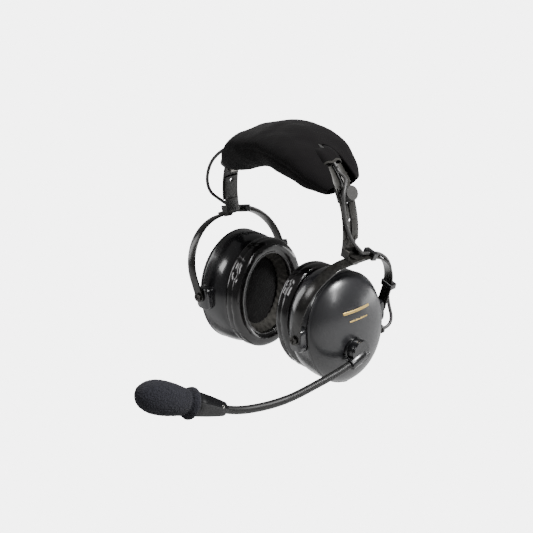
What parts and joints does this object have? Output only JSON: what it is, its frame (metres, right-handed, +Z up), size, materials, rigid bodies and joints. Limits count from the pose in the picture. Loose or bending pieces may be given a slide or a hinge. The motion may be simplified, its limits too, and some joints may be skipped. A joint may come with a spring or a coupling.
{
  "type": "aviation headset",
  "caption": "Over-ear headset with a padded spring headband, slotted slider arms, stirrup-hung oval ear cups and a boom microphone.",
  "frame": {"origin": "middle of the head pad's underside, where the headset rests on the head", "axes": "+X to the wearer's left, -Y the way the wearer faces, +Z up"},
  "size_m": [0.2004, 0.2783, 0.2238],
  "materials": {
    "spring_steel": "satin",
    "bracket_metal": "semi-gloss",
    "screw_metal": "satin",
    "dark_plastic": "matte",
    "dome_plastic": "satin",
    "knit_cloth": "matte",
    "seal_vinyl": "gloss",
    "rim_cloth": "matte",
    "foam": "matte",
    "cord_rubber": "matte",
    "boom_metal": "semi-gloss"
  },
  "bodies": {
    "headband": {"headband_strip": "spring_steel", "head_pad": "knit_cloth", "pad_cord": "cord_rubber", "left_clamp_nut": "screw_metal", "left_clamp_washer": "bracket_metal", "right_clamp_nut": "screw_metal", "right_clamp_washer": "bracket_metal"},
    "left_knob": {"left_clamp_knob": "dark_plastic"},
    "left_arm": {"left_slider_arm": "spring_steel", "left_arm_foot": "bracket_metal", "left_arm_rivets": "screw_metal", "left_arm_cord": "cord_rubber"},
    "left_stirrup": {"left_stirrup": "spring_steel", "left_cable_clips": "dark_plastic", "left_stirrup_cord": "cord_rubber"},
    "left_cup": {"left_dome": "dome_plastic", "left_cup_base": "dark_plastic", "left_pivot_screws": "screw_metal", "left_pivot_nuts": "screw_metal", "left_ear_seal": "seal_vinyl", "left_foam_rim": "rim_cloth", "left_ear_foam": "foam", "left_speaker_plate": "dark_plastic", "left_speaker": "dark_plastic", "left_cup_screws": "screw_metal", "left_damping_foam": "foam", "left_cord_grommet": "cord_rubber", "left_cup_cord": "cord_rubber", "main_cord_gland": "dark_plastic", "boom_base": "dark_plastic", "boom_pivot_screw": "screw_metal"},
    "right_knob": {"right_clamp_knob": "dark_plastic"},
    "right_arm": {"right_slider_arm": "spring_steel", "right_arm_foot": "bracket_metal", "right_arm_rivets": "screw_metal", "right_arm_cord": "cord_rubber"},
    "right_stirrup": {"right_stirrup": "spring_steel", "right_cable_clips": "dark_plastic", "right_stirrup_cord": "cord_rubber"},
    "right_cup": {"right_dome": "dome_plastic", "right_cup_base": "dark_plastic", "right_pivot_screws": "screw_metal", "right_pivot_nuts": "screw_metal", "right_ear_seal": "seal_vinyl", "right_foam_rim": "rim_cloth", "right_ear_foam": "foam", "right_speaker_plate": "dark_plastic", "right_speaker": "dark_plastic", "right_cup_screws": "screw_metal", "right_damping_foam": "foam", "right_cord_grommet": "cord_rubber", "right_cup_cord": "cord_rubber"},
    "boom": {"boom_holder": "dark_plastic", "boom_cap": "dark_plastic", "boom_gooseneck": "boom_metal", "mic_housing": "dark_plastic", "mic_cover": "dark_plastic", "mic_screw": "screw_metal", "mic_capsule": "screw_metal", "windscreen": "foam"}
  },
  "joints": [
    {"name": "left_extension", "type": "hinge", "parent": "headband", "child": "left_arm", "pos_m": [0, 0, -0.0426], "axis": [0, 1, 0], "range_deg": [-3, 3.8], "deforming": ["left_arm_cord"]},
    {"name": "left_knob_turn", "type": "hinge", "parent": "headband", "child": "left_knob", "pos_m": [0.07215, 0, -0.01476], "axis": [0.933, 0, 0.36], "range_deg": [0, 360]},
    {"name": "left_swivel", "type": "hinge", "parent": "left_arm", "child": "left_stirrup", "pos_m": [0.08014, 0, -0.06958], "axis": [0.3191, 0, 0.9477], "range_deg": [-10, 10], "deforming": ["left_arm_cord"]},
    {"name": "left_tilt", "type": "hinge", "parent": "left_stirrup", "child": "left_cup", "pos_m": [0.05938, 0, -0.13124], "axis": [0, 1, 0], "range_deg": [-10, 10], "deforming": ["left_cup_cord"]},
    {"name": "right_extension", "type": "hinge", "parent": "headband", "child": "right_arm", "pos_m": [0, 0, -0.0426], "axis": [0, -1, 0], "range_deg": [-0.5, 8], "deforming": ["right_arm_cord"]},
    {"name": "right_knob_turn", "type": "hinge", "parent": "headband", "child": "right_knob", "pos_m": [-0.07215, 0, -0.01476], "axis": [-0.933, 0, 0.36], "range_deg": [0, 360]},
    {"name": "right_swivel", "type": "hinge", "parent": "right_arm", "child": "right_stirrup", "pos_m": [-0.08232, 0, -0.06194], "axis": [-0.2287, 0, 0.9735], "range_deg": [-10, 10], "deforming": ["right_arm_cord"]},
    {"name": "right_tilt", "type": "hinge", "parent": "right_stirrup", "child": "right_cup", "pos_m": [-0.06744, 0, -0.12527], "axis": [0, -1, 0], "range_deg": [-10, 10], "deforming": ["right_cup_cord"]},
    {"name": "boom_swing", "type": "hinge", "parent": "left_cup", "child": "boom", "pos_m": [0.0869, -0.0065, -0.14616], "axis": [0.9995, 0, -0.0332], "range_deg": [-60, 150]}
  ]
}
